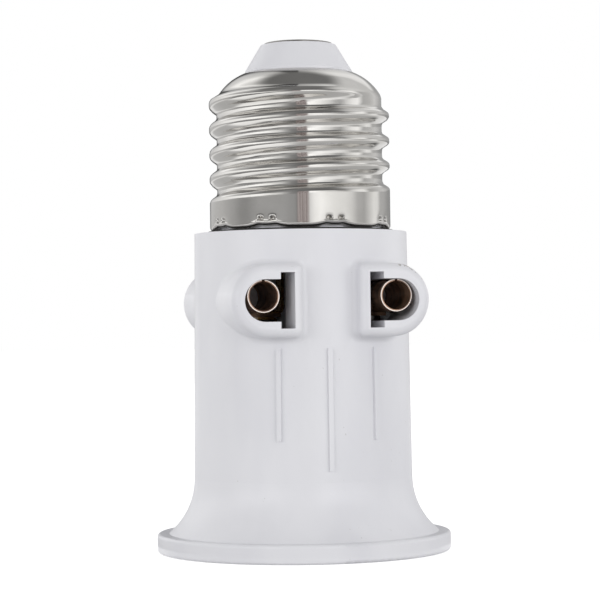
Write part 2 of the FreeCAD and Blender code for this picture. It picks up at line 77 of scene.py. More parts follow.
def camera_axes(azimuth, look_up, look_left, tilt):
    """The camera's right, up and backward directions."""
    back = Vector((math.sin(azimuth), -math.cos(azimuth), 0))
    back.rotate(Matrix.Rotation(look_left, 3, "Z"))
    right = Vector((0, 0, 1)).cross(back)
    ahead = -back * math.cos(look_up) + Vector((0, 0, 1)) * math.sin(look_up)
    up = right.cross(ahead)
    tilted_right = right * math.cos(tilt) - up * math.sin(tilt)
    tilted_up = right * math.sin(tilt) + up * math.cos(tilt)
    return tilted_right, tilted_up, -ahead


camera_data = bpy.data.cameras.new("photo_camera")
camera_data.lens = LENS
camera_data.clip_start = NEAREST_SEEN
camera = bpy.data.objects.new("photo_camera", camera_data)
bpy.context.scene.collection.objects.link(camera)
bpy.context.scene.camera = camera
axes = camera_axes(VIEW_AZIMUTH, LOOK_UP, LOOK_LEFT, TILT)
place = Vector((math.sin(VIEW_AZIMUTH), -math.cos(VIEW_AZIMUTH), 0)) * VIEW_DISTANCE
place.z = VIEW_HEIGHT
turned = Matrix(axes).transposed().to_4x4()
camera.matrix_world = Matrix.Translation(place) @ turned
print("camera at", [round(v, 4) for v in place])

# %% [markdown]
# Shader sums in Python.
# A finish is a small network of nodes. Writing the sums as Python expressions
# keeps them readable, so one class wraps an output socket and turns + - * / and
# powers into Math nodes. Each sum asks its finish for the node that it needs.

# %% A socket that can be added and multiplied
class Signal:
    """An output socket of a finish, usable in Python sums."""

    def __init__(self, finish, socket):
        self.finish = finish
        self.socket = socket

    def _sum(self, operation, *terms):
        settings = {"operation": operation}
        return self.finish.node("ShaderNodeMath", settings, dict(enumerate(terms)))

    def __add__(self, other):
        return self._sum("ADD", self, other)

    __radd__ = __add__

    def __sub__(self, other):
        return self._sum("SUBTRACT", self, other)

    def __rsub__(self, other):
        return self._sum("SUBTRACT", other, self)

    def __mul__(self, other):
        return self._sum("MULTIPLY", self, other)

    __rmul__ = __mul__

    def __truediv__(self, other):
        return self._sum("DIVIDE", self, other)

    def __pow__(self, other):
        return self._sum("POWER", self, other)

    def most(self, other):
        return self._sum("MAXIMUM", self, other)

    def size(self):
        return self._sum("ABSOLUTE", self)

    def step(self, low, high):
        """0 below low, 1 above high and smooth between."""
        settings = {"interpolation_type": "SMOOTHSTEP"}
        return self.finish.node("ShaderNodeMapRange", settings, {0: self, 1: low, 2: high})

    def between(self, rise, fall):
        """1 between two soft edges, each given as where it starts and ends."""
        return self.step(*rise) * (1 - self.step(*fall))


print("sums with a name:", [name for name in vars(Signal) if name.isalpha()])

# %% [markdown]
# Finishes.
# Every finish needs the same few things: nodes with their settings, a noise that
# stays put on the piece, a mix of two colours and a bumped normal. So one class
# holds a material and makes them, and each finish below is only its own recipe.

# %% A material that makes its own nodes
class Finish:
    """A material made of nodes, with its one Principled shader ready."""

    def __init__(self, name, **constants):
        self.material = bpy.data.materials.new(name)
        self.material.use_nodes = True
        self.tree = self.material.node_tree
        self.shader = self.tree.nodes["Principled BSDF"]
        for socket, value in constants.items():
            self.shader.inputs[socket.replace("_", " ")].default_value = value

    def node(self, kind, settings=None, inputs=None, output=0):
        """A new node: its settings first, then the values or links of its sockets."""
        made = self.tree.nodes.new(kind)
        for name, value in (settings or {}).items():
            if name == "stops":
                self.set_stops(made.color_ramp, value)
            else:
                setattr(made, name, value)
        for socket, value in (inputs or {}).items():
            if isinstance(value, Signal):
                self.tree.links.new(value.socket, made.inputs[socket])
            else:
                made.inputs[socket].default_value = value
        return Signal(self, made.outputs[output])

    @staticmethod
    def set_stops(ramp, stops):
        for i, (position, colour) in enumerate(stops):
            stop = ramp.elements[i] if i < 2 else ramp.elements.new(position)
            stop.position = position
            stop.color = colour

    def feed(self, socket, signal):
        self.tree.links.new(signal.socket, self.shader.inputs[socket])

    def place(self):
        """Object coordinates, which stay put on the piece."""
        return self.node("ShaderNodeTexCoord", output="Object")

    def apart(self):
        """The three Object coordinates, in metres."""
        split = self.node("ShaderNodeSeparateXYZ", None, {0: self.place()})
        return [Signal(self, split.socket.node.outputs[axis]) for axis in "XYZ"]

    def noise(self, scale, detail=2.0, stretch=(1, 1, 1)):
        """Soft noise from 0 to 1, scale in lumps per metre, squeezed along an axis."""
        spot = self.node("ShaderNodeMapping", None, {0: self.place(), 3: stretch})
        values = {"Vector": spot, "Scale": scale, "Detail": detail}
        return self.node("ShaderNodeTexNoise", None, values)

    def mix(self, share, first, second):
        """A colour between two colours."""
        values = {0: share, 6: first, 7: second}
        return self.node("ShaderNodeMix", {"data_type": "RGBA"}, values, 2)

    def bump(self, height, distance):
        """A bumped normal from a height of 0 to 1, distance in metres."""
        values = {"Height": height, "Distance": distance}
        self.feed("Normal", self.node("ShaderNodeBump", None, values))


def rgb(*levels):
    """An opaque colour from screen levels of 0 to 255."""
    return (*((level / 255) ** 2.2 for level in levels), 1)


def grey(level):
    """An opaque grey from a level of light."""
    return (level, level, level, 1)


print("a screen's middle grey as light:", round(rgb(128)[0], 3))

# %% [markdown]
# The white plastic.
# The body is one moulding in white plastic with a soft sheen. Plain white would
# look like paint on a wall, so the sheen wanders a little where the plastic
# flowed, the surface has a faint orange peel, and a few tiny specks show. The
# front right boss is scuffed along its upper edge, where plugs rub it, so the
# scuffs are a noise that is let through only there.

# %% White moulded plastic
WHITE = rgb(223, 223, 227)
WHITE_SHADE = rgb(216, 216, 221)
SPECK = rgb(150, 146, 140)
PIN_X = 9.5 * MM
PIN_Z = 36.55 * MM
SCUFFED_X = (9 * MM, 10 * MM)
SCUFFED_FRONT = (15 * MM, 15.8 * MM)
SCUFFED_Z = (38.5 * MM, 39 * MM)
SCUFFED_R = (3.85 * MM, 4.1 * MM)


def from_line(across, up):
    """Distance from a line, from how far off it lies in two directions."""
    return (across * across + up * up) ** 0.5


def white_plastic():
    finish = Finish("white_plastic", Specular_IOR_Level=0.45)
    flow = finish.noise(90, 3, (1, 1, 0.35))
    tone = finish.mix(flow.step(0.35, 0.7), WHITE, WHITE_SHADE)
    specks = finish.noise(2600, 0).step(0.83, 0.86) * finish.noise(160, 1).step(0.55, 0.65)
    x, y, z = finish.apart()
    rubbed = x.step(*SCUFFED_X) * (y * -1).step(*SCUFFED_FRONT) * z.step(*SCUFFED_Z)
    rubbed = rubbed * from_line(x - PIN_X, z - PIN_Z).step(*SCUFFED_R)
    scuffs = finish.noise(1800, 3).step(0.47, 0.56) * finish.noise(750, 1).step(0.4, 0.5) * rubbed
    finish.feed("Base Color", finish.mix((specks * 0.3).most(scuffs * 0.8), tone, SPECK))
    finish.feed("Roughness", flow * 0.12 + 0.3)
    finish.bump(finish.noise(1500, 2), 0.004 * MM)
    return finish.material


FINISHES = {"white_plastic": white_plastic()}
print("finishes so far:", len(FINISHES))

# %% [markdown]
# Nickel plate.
# The screw shell is rolled from thin sheet and nickel plated, a soft grey mirror.
# Rolling leaves fine lines round the shell, so a noise squeezed along the axis
# moves its roughness and its normal, and a slow noise dulls it in patches.

# %% Nickel-plated sheet
NICKEL = rgb(210, 208, 205)
NICKEL_DULL = rgb(198, 196, 192)


def nickel_plate():
    finish = Finish("nickel_plate", Metallic=1.0)
    patches = finish.noise(140, 3)
    lines = finish.noise(420, 2, (1, 1, 10))
    finish.feed("Base Color", finish.mix(patches.step(0.35, 0.75), NICKEL, NICKEL_DULL))
    finish.feed("Roughness", lines * 0.04 + patches * 0.05 + 0.03)
    finish.bump(lines, 0.001 * MM)
    return finish.material


FINISHES["nickel"] = nickel_plate()
print("finishes so far:", len(FINISHES))

# %% [markdown]
# Brass.
# The springs, straps and rivets are rolled brass with a little tarnish. The four
# sleeves and the buses behind them have browned, and only the cut edge at each
# sleeve's mouth is pale. That edge is a thin ring round the pin's line, so two
# steps find it, one by how far out it lies and one by how far from the line.

# %% Rolled and browned brass
BRASS = rgb(196, 160, 104)
BRASS_BROWN = rgb(120, 88, 58)
SLEEVE_BROWN = rgb(158, 126, 104)
SLEEVE_DARK = rgb(92, 70, 58)
SLEEVE_EDGE = rgb(252, 242, 234)
EDGE_OUT = (16.2 * MM, 16.26 * MM)
EDGE_R = (2.1 * MM, 2.18 * MM)


def rolled_brass():
    finish = Finish("rolled_brass", Metallic=1.0)
    tarnish = finish.noise(450, 4)
    finish.feed("Base Color", finish.mix(tarnish.step(0.4, 0.75), BRASS, BRASS_BROWN))
    finish.feed("Roughness", tarnish * 0.25 + 0.15)
    finish.bump(finish.noise(2500, 2, (1, 0.1, 1)), 0.003 * MM)
    return finish.material


def browned_brass():
    """Browned brass with a pale cut edge at the mouth of each sleeve."""
    finish = Finish("browned_brass", Metallic=0.6)
    x, y, z = finish.apart()
    edge = y.size().step(*EDGE_OUT) * from_line(x.size() - PIN_X, z - PIN_Z).step(*EDGE_R)
    tarnish = finish.noise(450, 4)
    inside = finish.mix(tarnish.step(0.35, 0.7), SLEEVE_BROWN, SLEEVE_DARK)
    finish.feed("Base Color", finish.mix(edge, inside, SLEEVE_EDGE))
    finish.feed("Roughness", tarnish * 0.2 + 0.35 + edge * 0.1)
    return finish.material


FINISHES["brass"] = rolled_brass()
print("finishes so far:", len(FINISHES))

# %% [markdown]
# Tin, zinc and the inner plastic.
# The contact on the nose is tinned and dull, the screws are zinc plated, and the
# lamp socket's base is a duller, warmer plastic than the body. Each is one cloudy
# noise that moves the colour and the roughness together, as dirt and plating do.

# %% Tin, zinc plate and base plastic
TIN = rgb(146, 144, 142)
TIN_DULL = rgb(120, 117, 114)
ZINC = rgb(178, 178, 176)
ZINC_DULL = rgb(150, 150, 150)
BASE = rgb(206, 203, 196)
BASE_SHADE = rgb(190, 187, 180)


def tinned_contact():
    finish = Finish("tinned_contact", Metallic=1.0)
    cloud = finish.noise(320, 3)
    finish.feed("Base Color", finish.mix(cloud.step(0.25, 0.8), TIN, TIN_DULL))
    finish.feed("Roughness", cloud * 0.2 + 0.2)
    return finish.material


def zinc_plate():
    finish = Finish("zinc_plate", Metallic=1.0)
    cloud = finish.noise(900, 3)
    finish.feed("Base Color", finish.mix(cloud, ZINC, ZINC_DULL))
    finish.feed("Roughness", cloud * 0.2 + 0.25)
    return finish.material


def base_plastic():
    finish = Finish("base_plastic", Specular_IOR_Level=0.4)
    flow = finish.noise(150, 3)
    finish.feed("Base Color", finish.mix(flow, BASE, BASE_SHADE))
    finish.feed("Roughness", flow * 0.15 + 0.45)
    finish.bump(finish.noise(1800, 2), 0.006 * MM)
    return finish.material


FINISHES["screw_steel"] = zinc_plate()
FINISHES["base_plastic"] = base_plastic()
print("finishes so far:", len(FINISHES))

# %% [markdown]
# Finishes on the pieces.
# The record gives every piece its material slot, so one loop dresses them all.
# After that come the pieces that look different from the rest of their slot: the
# browned brass in the outlets and the dull contact on the nose.

# %% Put the finishes on the pieces
BROWNED_PIECES = (
    "front_left_sleeve", "front_right_sleeve", "rear_left_sleeve", "rear_right_sleeve",
    "live_bus", "neutral_bus",
)
for part in frame["record"]["subparts"]:
    piece = nodes[part["node"]]
    piece.data.materials.clear()
    piece.data.materials.append(FINISHES[part["material_slot"]])
browned = browned_brass()
for name in BROWNED_PIECES:
    nodes[name].data.materials[0] = browned
nodes["cap_contact"].data.materials[0] = tinned_contact()
print("finishes on", len(nodes), "pieces")

# %% [markdown]
# The rolled thread.
# The screw shell is a tube of thin sheet into which a roller presses the round
# thread. A revolved outline would give rings and not a thread. So the thread is
# written as a radius for every angle and height: round crests, broad grooves that
# are nearly flat, and at both ends a crest or groove that fades along its turn.

# %% The rolled thread as a radius
PITCH = 3.629 * MM
THREAD_DEPTH = 1.1 * MM
RUN_OUT = 65.0
GROOVE_ROUND = 4.2 * MM
CREST_ROUND = 1.5
CAMERA_LEFT = math.degrees(VIEW_AZIMUTH) + 180


def eased(share):
    """0 up to 0, 1 from 1 and smooth between."""
    share = min(max(share, 0.0), 1.0)
    return share * share * (3 - 2 * share)


def rolled_thread(big, crest_z, groove_from, crest_to, wide, lean=0.0):
    """Radius of a right-hand rolled thread by angle in degrees and height.

    A crest falls away over the distance wide to each side of its middle. Lean
    makes the crests wider on the camera's left and slimmer on its right. The groove
    opens along its own helix from groove_from degrees on, and the crest dies out
    along its own past crest_to.
    """
    def radius(angle, z):
        turns = (z - crest_z) / PITCH - angle / 360
        crest = math.floor(turns + 0.5)
        groove = math.floor(turns)
        from_crest = abs(turns - crest) * PITCH
        half = wide + lean * math.cos(math.radians(angle - CAMERA_LEFT))
        low = 0.5 - 0.5 * math.cos(math.pi * min(from_crest / half, 1.0) ** CREST_ROUND)
        floor = (PITCH / 2 - from_crest) ** 2 / (2 * GROOVE_ROUND)
        r = big - low * (THREAD_DEPTH - floor)
        opened = eased((groove * 360 + angle - groove_from) / RUN_OUT)
        left = 1 - eased((crest * 360 + angle - crest_to) / RUN_OUT)
        r = big - opened * (big - r)
        return big - THREAD_DEPTH + left * (r - big + THREAD_DEPTH)
    return radius


print("thread pitch in mm:", PITCH / MM)

# %% [markdown]
# A tube to press.
# Both threaded shells and the black ring of painted shade under the rim start as the
# same thing, a plain tube cut into fine rings. A cylinder is added and its upright
# edges subdivided, and then a press moves every point to the place of its column and ring.

# %% A tube of rings and the press
SHEET_SHARP = math.radians(50)
SMALL_SHARP = math.radians(40)


def ring_tube(name, columns, rings):
    """A plain tube at the origin with this many columns and rings."""
    bpy.ops.object.select_all(action="DESELECT")
    bpy.ops.mesh.primitive_cylinder_add(
        vertices=columns, radius=1, depth=1, end_fill_type="NOTHING")
    tube = bpy.context.object
    tube.name = name
    bpy.ops.object.mode_set(mode="EDIT")
    bpy.ops.mesh.select_mode(type="EDGE")
    bpy.ops.mesh.select_all(action="DESELECT")
    mesh = bmesh.from_edit_mesh(tube.data)
    for edge in mesh.edges:
        edge.select_set(abs(edge.verts[0].co.z - edge.verts[1].co.z) > 0.5)
    bpy.ops.mesh.subdivide(number_cuts=rings - 2)
    bpy.ops.object.mode_set(mode="OBJECT")
    return tube


def press(tube, columns, rows, place_of):
    """Move every vertex of a tube to the place of its column and ring."""
    for vertex in tube.data.vertices:
        spot = vertex.co
        column = round(math.degrees(math.atan2(spot.y, spot.x)) / 360 * columns) % columns
        ring = round((spot.z + 0.5) * (len(rows) - 1))
        angle, r, z = place_of(column, rows[ring])
        turn = math.radians(angle)
        vertex.co = (r * math.cos(turn), r * math.sin(turn), z)


def use(tool, name, **settings):
    """Add a modifier to the active piece and apply it."""
    modifier = bpy.context.object.modifiers.new(name, tool)
    for key, value in settings.items():
        setattr(modifier, key, value)
    bpy.ops.object.modifier_apply(modifier=name)


print("a sheet stays smooth up to degrees:", round(math.degrees(SHEET_SHARP)))

# %% [markdown]
# Heights and arcs.
# The rings of a tube stand a step apart, closer where the shape is finer, and a
# dome or a bent edge follows an arc. Both come as plain lists, one entry a ring.

# %% Heights and arcs for the rings
THREAD_STEP = 0.21 * MM


def even(low, high, step):
    """Heights from low to just under high, about a step apart."""
    count = round((high - low) / step)
    return [low + (high - low) * i / count for i in range(count)]


def arc_points(start, end, bulge, count):
    """Points (r, z) along an arc that bulges outwards from start to end."""
    (r0, z0), (r1, z1) = start, end
    chord = math.hypot(r1 - r0, z1 - z0)
    radius = (chord ** 2 / 4 + bulge ** 2) / (2 * bulge)
    half = math.asin(chord / 2 / radius)
    along = ((r1 - r0) / chord, (z1 - z0) / chord)
    out = (along[1], -along[0])
    points = []
    for i in range(count + 1):
        turn = half * (2 * i / count - 1)
        x = radius * math.sin(turn) + chord / 2
        y = radius * math.cos(turn) - (radius - bulge)
        points.append((r0 + along[0] * x + out[0] * y, z0 + along[1] * x + out[1] * y))
    return points


print("heights in a centimetre of thread:", len(even(0, 10 * MM, THREAD_STEP)))

# %% [markdown]
# The dents.
# Eight pairs of dents pinch the shell on to the neck, and the pinch pulls the rim
# up a little beside each pair. They are pressed as the thread is, so each is a
# depth by angle and height: a small deep dent in a wide shallow hollow. The
# columns of the tube stand closer together there, so that the dents come out round.

# %% Dents that hold the shell on the neck
CAP_BIG = 13.1 * MM
DENT_PAIR_ANGLES = (-165.5, -125.7, -82.0, -38.9, 7.0, 53.0, 100.0, 147.0)
DENT_APART = 8.0
DENT_MARGIN = 3.4
DENT_Z = 47.35 * MM
DENT_R = 0.55 * MM
DENT_DEPTH = 0.52 * MM
DENT_STEEP = 1.5
DENT_HOLLOW_R = 1.3 * MM
DENT_HOLLOW = 0.08 * MM
LIFT_BROAD = 0.336 * MM
LIFT_BROAD_FROM = 15.4
LIFT_BROAD_FULL = 4.4
LIFT_PEAK = 0.084 * MM
LIFT_PEAK_AT = 6.0
LIFT_PEAK_W = 4.0


def from_pair(angle):
    """Degrees from the middle of the nearest pair of dents."""
    return min(((angle - pair + 180) % 360 - 180 for pair in DENT_PAIR_ANGLES), key=abs)


def dent(angle, z):
    """How deep the sheet is pinched at an angle and height."""
    off = from_pair(angle)
    deep = 0.0
    for side in (-0.5, 0.5):
        across = math.radians(off - side * DENT_APART) * CAP_BIG
        away = math.hypot(across, z - DENT_Z)
        deep += DENT_DEPTH * eased(DENT_STEEP * (1 - away / DENT_R))
        deep += DENT_HOLLOW * eased(1 - away / DENT_HOLLOW_R)
    return deep


def rim_lift(angle):
    """How far the pinch pulls the rim up, broadly and most just outside the dents."""
    off = abs(from_pair(angle))
    broad = eased((LIFT_BROAD_FROM - off) / (LIFT_BROAD_FROM - LIFT_BROAD_FULL))
    peak = eased(1 - abs(off - LIFT_PEAK_AT) / LIFT_PEAK_W)
    return LIFT_BROAD * broad + LIFT_PEAK * peak


def dented_columns(per_pair):
    """Column angles all round, closer together where the dents are."""
    angles = []
    fine = per_pair * 2 // 3
    rest = per_pair - fine
    near = DENT_APART / 2 + DENT_MARGIN
    following = DENT_PAIR_ANGLES[1:] + (DENT_PAIR_ANGLES[0] + 360,)
    for pair, next_pair in zip(DENT_PAIR_ANGLES, following):
        angles += [pair - near + 2 * near * k / fine for k in range(fine)]
        free = next_pair - pair - 2 * near
        angles += [pair + near + free * k / rest for k in range(rest)]
    return angles


print("dents:", 2 * len(DENT_PAIR_ANGLES))

# %% [markdown]
# The screw shell.
# Its rings run from the rolled rim at the foot, over the dented skirt and the
# thread, up the dome to the opening that the nose comes through. Each kind of ring
# has its own rule for its radius and height, and the sheet's thickness comes last,
# grown inwards so that the outside keeps its size.

# %% The rings of the screw shell
CAP_CREST_Z = 52.04 * MM
CAP_GROOVE_FROM = -260.0
CAP_CREST_TO = 1325.0
CAP_CREST_W = 1.32 * MM
CAP_CREST_LEAN = 0.14 * MM
RIM_Z = 46.15 * MM
RIM_ROLL = 0.7 * MM
RIM_STEPS = 6
DENTED_TOP_Z = DENT_Z + 0.9 * MM
DENTED_STEP = 0.13 * MM
SKIRT_TOP_Z = 49.5 * MM
SKIRT_STEP = 0.2 * MM
DOME_Z = 65.55 * MM
DOME_TOP_Z = 69.1 * MM
DOME_TOP_R = 7.92 * MM
DOME_BULGE = 0.5 * MM
DOME_STEPS = 18
CREST_FADE = 1.2 * MM
cap_small = CAP_BIG - THREAD_DEPTH
cap_thread = rolled_thread(
    CAP_BIG, CAP_CREST_Z, CAP_GROOVE_FROM, CAP_CREST_TO, CAP_CREST_W, CAP_CREST_LEAN)


def cap_rows():
    """The rings from the rolled rim up to the opening, as kind, radius and height."""
    rows = []
    for i in range(RIM_STEPS + 1):
        turn = math.radians(90 - 90 * i / RIM_STEPS)
        r = CAP_BIG - RIM_ROLL + RIM_ROLL * math.cos(turn)
        rows.append(("rim", r, RIM_Z + RIM_ROLL - RIM_ROLL * math.sin(turn)))
    skirt = even(RIM_Z + RIM_ROLL, DENTED_TOP_Z, DENTED_STEP)[1:]
    skirt += even(DENTED_TOP_Z, SKIRT_TOP_Z, SKIRT_STEP)
    rows += [("skirt", CAP_BIG, z) for z in skirt]
    rows += [("thread", 0, z) for z in even(SKIRT_TOP_Z, DOME_Z, THREAD_STEP)]
    dome = arc_points((cap_small, DOME_Z), (DOME_TOP_R, DOME_TOP_Z), DOME_BULGE, DOME_STEPS)
    return rows + [("dome", r, z) for r, z in dome]


def cap_place(angle, row):
    """Radius and height of one point of the screw shell."""
    kind, r, z = row
    angle = angle % 360
    if kind == "dome":
        keep = 1 - eased((z - DOME_Z) / CREST_FADE)
        return r + (cap_thread(angle, z) - cap_small) * keep, z
    if kind == "thread":
        return cap_thread(angle, z), z
    if kind == "skirt":
        share = eased((SKIRT_TOP_Z - z) / (SKIRT_TOP_Z - RIM_Z))
        return r - dent(angle, z), z + rim_lift(angle) * share ** 2
    return r, z + rim_lift(angle)


print("rings in the screw shell:", len(cap_rows()))

# %% Press the screw shell
COLUMNS_PER_PAIR = 42
SHEET = 0.3 * MM


def make_screw_shell():
    rows = cap_rows()
    angles = dented_columns(COLUMNS_PER_PAIR)
    tube = ring_tube("screw_shell", len(angles), len(rows))
    press(tube, len(angles), rows,
          lambda column, row: (angles[column], *cap_place(angles[column], row)))
    use("SOLIDIFY", "sheet", thickness=SHEET, offset=-1)
    bpy.ops.object.shade_smooth_by_angle(angle=SHEET_SHARP)
    tube.data.materials.append(FINISHES["nickel"])
    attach(tube, "root")
    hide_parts("cap_shell")
    return tube


screw_shell = make_screw_shell()
print("screw shell faces:", len(screw_shell.data.polygons))

# %% [markdown]
# The painted shadow under the rim.
# The gap between the rim of the screw shell and the body lies in deep shade and shows
# as a dark line. A thin black ring is laid in that gap as painted shade. It is made
# like the shell, as a short tube that is pressed flat and then given its thickness.

# %% Lay the black ring of painted shade under the rim
SHADOW_GAP_RING_Z = 46.07 * MM
SHADOW_GAP_RING_T = 0.28 * MM
SHADOW_GAP_RING_R = (12.85 * MM, 13.42 * MM)
SHADOW_GAP_RING_COLUMNS = 128
# Near-black colours that paint the shadow in the gap under the rim.
SHADOW_GAP_BLACK = (0.012, 0.011, 0.012, 1)
SHADOW_GAP_GREY = (0.03, 0.028, 0.027, 1)


# A near-black finish with a faint grain: painted shadow, not a real material.
def painted_shadow_black():
    finish = Finish("painted_shadow_black", Specular_IOR_Level=0.3)
    grain = finish.noise(3000, 2)
    finish.feed("Base Color", finish.mix(grain, SHADOW_GAP_BLACK, SHADOW_GAP_GREY))
    finish.feed("Roughness", grain * 0.2 + 0.5)
    finish.bump(grain, 0.01 * MM)
    return finish.material


# A thin black ring that stands in for the shadow in the gap under the rim.
def make_shadow_gap_ring():
    low, high = SHADOW_GAP_RING_R
    rows = [low + (high - low) * i / 3 for i in range(4)]
    ring = ring_tube("shadow_gap_ring", SHADOW_GAP_RING_COLUMNS, len(rows))
    turn = 360 / SHADOW_GAP_RING_COLUMNS
    press(ring, SHADOW_GAP_RING_COLUMNS, rows, lambda column, r: (column * turn, r, SHADOW_GAP_RING_Z))
    use("SOLIDIFY", "thickness", thickness=SHADOW_GAP_RING_T, offset=0)
    bpy.ops.object.shade_smooth_by_angle(angle=SMALL_SHARP)
    ring.data.materials.append(painted_shadow_black())
    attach(ring, "root")
    return ring


shadow_gap_ring = make_shadow_gap_ring()
print("foot ring faces:", len(shadow_gap_ring.data.polygons))

# %% [markdown]
# The lamp socket's shell.
# Inside the skirt sits the thread that takes the lamp. It is rolled the same way
# as the screw shell, so the same press makes it, with a plain lip below and an end
# ring above that is riveted to the base.

# %% Press the socket shell
SOCKET_BIG = 13.3 * MM
SOCKET_SHEET = 0.35 * MM
LIP_Z = 3.2 * MM
SOCKET_THREAD_Z = 6.2 * MM
SOCKET_NECK_Z = 23.5 * MM
SOCKET_TOP_Z = 27.6 * MM
SOCKET_BEND = 0.5 * MM
BEND_BULGE = 0.12 * MM
BEND_STEPS = 4
SOCKET_RING_R = 9.2 * MM
SOCKET_COLUMNS = 256
SOCKET_CREST_W = 1.5 * MM
SOCKET_CREST_TO = 1080.0
LIP_STEP = 0.6 * MM
SOCKET_STEP = 0.24 * MM
NECK_STEP = 0.8 * MM
socket_thread = rolled_thread(
    SOCKET_BIG, SOCKET_THREAD_Z + PITCH / 2, 0.0, SOCKET_CREST_TO, SOCKET_CREST_W)


def socket_rows():
    """Rings from the lip up to the end ring, as kind, radius and height."""
    neck_r = SOCKET_BIG - THREAD_DEPTH
    flat_r = neck_r - SOCKET_BEND
    end_z = SOCKET_TOP_Z - SOCKET_SHEET
    bend_z = end_z - SOCKET_BEND
    rows = [("plain", SOCKET_BIG, z) for z in even(LIP_Z, SOCKET_THREAD_Z, LIP_STEP)]
    rows += [("thread", 0, z) for z in even(SOCKET_THREAD_Z, SOCKET_NECK_Z, SOCKET_STEP)]
    rows += [("plain", neck_r, z) for z in even(SOCKET_NECK_Z, bend_z, NECK_STEP)]
    bend = arc_points((neck_r, bend_z), (flat_r, end_z), BEND_BULGE, BEND_STEPS)
    rows += [("plain", r, z) for r, z in bend]
    for i in range(1, BEND_STEPS + 1):
        rows.append(("plain", flat_r - (flat_r - SOCKET_RING_R) * i / BEND_STEPS, end_z))
    return rows


def socket_place(angle, row):
    kind, r, z = row
    return (socket_thread(angle % 360, z), z) if kind == "thread" else (r, z)


def make_socket_shell():
    rows = socket_rows()
    turn = 360 / SOCKET_COLUMNS
    tube = ring_tube("socket_shell_rolled", SOCKET_COLUMNS, len(rows))
    press(tube, SOCKET_COLUMNS, rows,
          lambda column, row: (column * turn, *socket_place(column * turn, row)))
    use("SOLIDIFY", "sheet", thickness=SOCKET_SHEET, offset=1)
    bpy.ops.object.shade_smooth_by_angle(angle=SHEET_SHARP)
    tube.data.materials.append(FINISHES["nickel"])
    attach(tube, "root")
    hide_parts("socket_shell")
    return tube


socket_shell = make_socket_shell()
print("socket shell faces:", len(socket_shell.data.polygons))

# %% [markdown]
# The lamp contact leaf.
# A strip of springy brass, riveted at its root and bent down to a pad. When a
# lamp is screwed in, the pad is pressed up and the strip bends near the rivet. So
# it is a fine strip, laid in its resting bend from the root at one end to the pad at the other.
# It starts as a square, is cut across, laid along its bent line and thickened.

# %% Bend the contact leaf
LEAF_W = 4.0 * MM
LEAF_T = 0.3 * MM
LEAF_EDGE = 0.06 * MM
LEAF_CUTS_A_RUN = 4
LEAF_Z = 27.45 * MM
PAD_Z = 25.3 * MM
HINGE_X = -4.6 * MM
LEAF_LINE = [
    (-8.0 * MM, LEAF_Z), (-4.9 * MM, LEAF_Z), (HINGE_X, 27.38 * MM), (-4.3 * MM, 27.2 * MM),
    (-2.1 * MM, 25.5 * MM), (-1.8 * MM, 25.36 * MM), (-1.5 * MM, PAD_Z), (1.8 * MM, PAD_Z),
]


def on_leaf_line(share):
    """The point (x, z) of the leaf's middle line at a share of its runs, 0 to 1."""
    runs = len(LEAF_LINE) - 1
    i = min(int(share * runs), runs - 1)
    along = share * runs - i
    (x0, z0), (x1, z1) = LEAF_LINE[i:i + 2]
    return x0 + (x1 - x0) * along, z0 + (z1 - z0) * along


def make_leaf():
    bpy.ops.object.select_all(action="DESELECT")
    bpy.ops.mesh.primitive_plane_add(size=1)
    leaf = bpy.context.object
    leaf.name = "spring_leaf"
    bpy.ops.object.mode_set(mode="EDIT")
    bpy.ops.mesh.select_mode(type="EDGE")
    bpy.ops.mesh.select_all(action="DESELECT")
    mesh = bmesh.from_edit_mesh(leaf.data)
    for edge in mesh.edges:
        edge.select_set(abs(edge.verts[0].co.x - edge.verts[1].co.x) > 0.5)
    bpy.ops.mesh.subdivide(number_cuts=LEAF_CUTS_A_RUN * (len(LEAF_LINE) - 1) - 1)
    bpy.ops.object.mode_set(mode="OBJECT")
    for vertex in leaf.data.vertices:
        x, z = on_leaf_line(vertex.co.x + 0.5)
        vertex.co = (x, vertex.co.y * LEAF_W, z)
    use("SOLIDIFY", "sheet", thickness=LEAF_T, offset=0)
    use("BEVEL", "edges", width=LEAF_EDGE, segments=2, limit_method="ANGLE")
    bpy.ops.object.shade_smooth_by_angle(angle=SMALL_SHARP)
    leaf.data.materials.append(FINISHES["brass"])
    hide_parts("contact_leaf")
    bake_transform(leaf)
    return leaf


spring_leaf = make_leaf()
print("leaf faces:", len(spring_leaf.data.polygons))

# %% [markdown]
# Floor and sky.
# The picture has a plain white ground. The sky is white wherever the camera or a
# mirror looks at it and a little dimmer as a lamp, and the floor glows just
# enough to meet that white while it still takes the adapter's shadow.

# %% A white floor and sky
SKY_LIGHT = 0.6
FLOOR_SIZE = 6.0
FLOOR_Z = -0.02 * MM
FLOOR_WHITE = 0.8
FLOOR_GLOW = 0.6


def seen_directly(finish):
    """1 where the camera, a mirror or clear glass looks, 0 for soft light."""
    rays = finish.tree.nodes.new("ShaderNodeLightPath").outputs
    camera_ray = Signal(finish, rays["Is Camera Ray"])
    glossy_ray = Signal(finish, rays["Is Glossy Ray"])
    clear_ray = Signal(finish, rays["Is Transmission Ray"])
    return camera_ray.most(glossy_ray).most(clear_ray)


class Sky(Finish):
    """The world's own node tree, used like a finish."""

    def __init__(self):
        world = bpy.data.worlds.new("white_sky")
        bpy.context.scene.world = world
        world.use_nodes = True
        self.tree = world.node_tree
        self.shader = self.tree.nodes["Background"]


